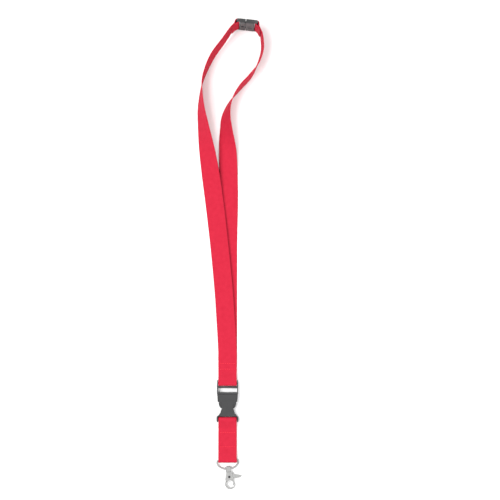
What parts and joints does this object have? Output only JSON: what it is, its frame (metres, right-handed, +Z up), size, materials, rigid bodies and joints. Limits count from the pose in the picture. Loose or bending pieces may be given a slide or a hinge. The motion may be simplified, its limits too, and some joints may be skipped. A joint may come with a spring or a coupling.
{
  "type": "lanyard",
  "caption": "Neck lanyard of flat red webbing with a breakaway clip, side-release buckle, short strap, D-ring and swivel trigger hook.",
  "frame": {"origin": "on the surface the lanyard lies on, under the middle of its length and width", "axes": "+Y up the lanyard from the hook to the breakaway clip, +X across to the right leg, +Z up from the surface"},
  "size_m": [0.072, 0.5068, 0.0237],
  "materials": {
    "webbing": "matte",
    "thread": "satin",
    "black_plastic": "satin",
    "plated_metal": "polished",
    "spring_steel": "satin"
  },
  "bodies": {
    "neck": {"neck_strap_left": "webbing", "neck_strap_right": "webbing", "neck_strap_fold": "webbing", "neck_stitching": "thread", "strap_end_left": "webbing", "end_stitching_left": "thread", "breakaway_socket": "black_plastic"},
    "clip_plug": {"breakaway_plug": "black_plastic", "breakaway_catch": "black_plastic", "strap_end_right": "webbing", "end_stitching_right": "thread"},
    "frame": {"buckle_frame": "black_plastic"},
    "prong_left": {"buckle_prong_left": "black_plastic"},
    "prong_right": {"buckle_prong_right": "black_plastic"},
    "housing": {"buckle_housing": "black_plastic"},
    "lower_strap": {"short_strap": "webbing", "short_strap_stitching": "thread"},
    "ring": {"hook_ring": "plated_metal"},
    "hook": {"hook_body": "plated_metal", "swivel_stud": "plated_metal", "trigger_pin": "spring_steel", "trigger_spring": "spring_steel"},
    "gate": {"trigger": "plated_metal"}
  },
  "joints": [
    {"name": "breakaway_pull", "type": "slide", "parent": "neck", "child": "clip_plug", "axis": [0.9945, -0.1045, 0], "range_m": [0, 0.01], "deforming": ["breakaway_catch"]},
    {"name": "buckle_swing", "type": "hinge", "parent": "neck", "child": "frame", "pos_m": [-0.00325, -0.13912, 0.0035], "axis": [1, 0, 0], "range_deg": [-90, 90]},
    {"name": "prong_right_pinch", "type": "hinge", "parent": "frame", "child": "prong_right", "pos_m": [0.00295, -0.15197, 0.0035], "axis": [0, 0, -1], "range_deg": [0, 10], "stiffness_Nm_per_rad": 0.1},
    {"name": "prong_left_pinch", "type": "hinge", "parent": "frame", "child": "prong_left", "pos_m": [-0.00945, -0.15197, 0.0035], "axis": [0, 0, 1], "range_deg": [0, 10], "stiffness_Nm_per_rad": 0.1},
    {"name": "buckle_release", "type": "slide", "parent": "frame", "child": "housing", "axis": [0, -1, 0], "range_m": [0, 0.02], "deforming": ["buckle_prong_left", "buckle_prong_right"]},
    {"name": "short_strap_swing", "type": "hinge", "parent": "housing", "child": "lower_strap", "pos_m": [-0.00325, -0.17742, 0.0035], "axis": [1, 0, 0], "range_deg": [-90, 90]},
    {"name": "ring_swing", "type": "hinge", "parent": "lower_strap", "child": "ring", "pos_m": [-0.00325, -0.22142, 0.0025], "axis": [0.9945, 0.1045, 0], "range_deg": [-90, 90]},
    {"name": "hook_swivel", "type": "hinge", "parent": "ring", "child": "hook", "pos_m": [-0.00189, -0.23435, 0.0025], "axis": [0.1045, -0.9945, 0], "continuous": true},
    {"name": "trigger_open", "type": "hinge", "parent": "hook", "child": "gate", "pos_m": [-0.00129, -0.24002, 0.0025], "axis": [0, 0, -1], "range_deg": [0, 25], "stiffness_Nm_per_rad": 0.02, "springref_deg": -11.46, "deforming": ["trigger_spring"]}
  ],
  "couplings": [
    {"joint": "prong_left_pinch", "follows": "prong_right_pinch", "ratio": 1}
  ]
}
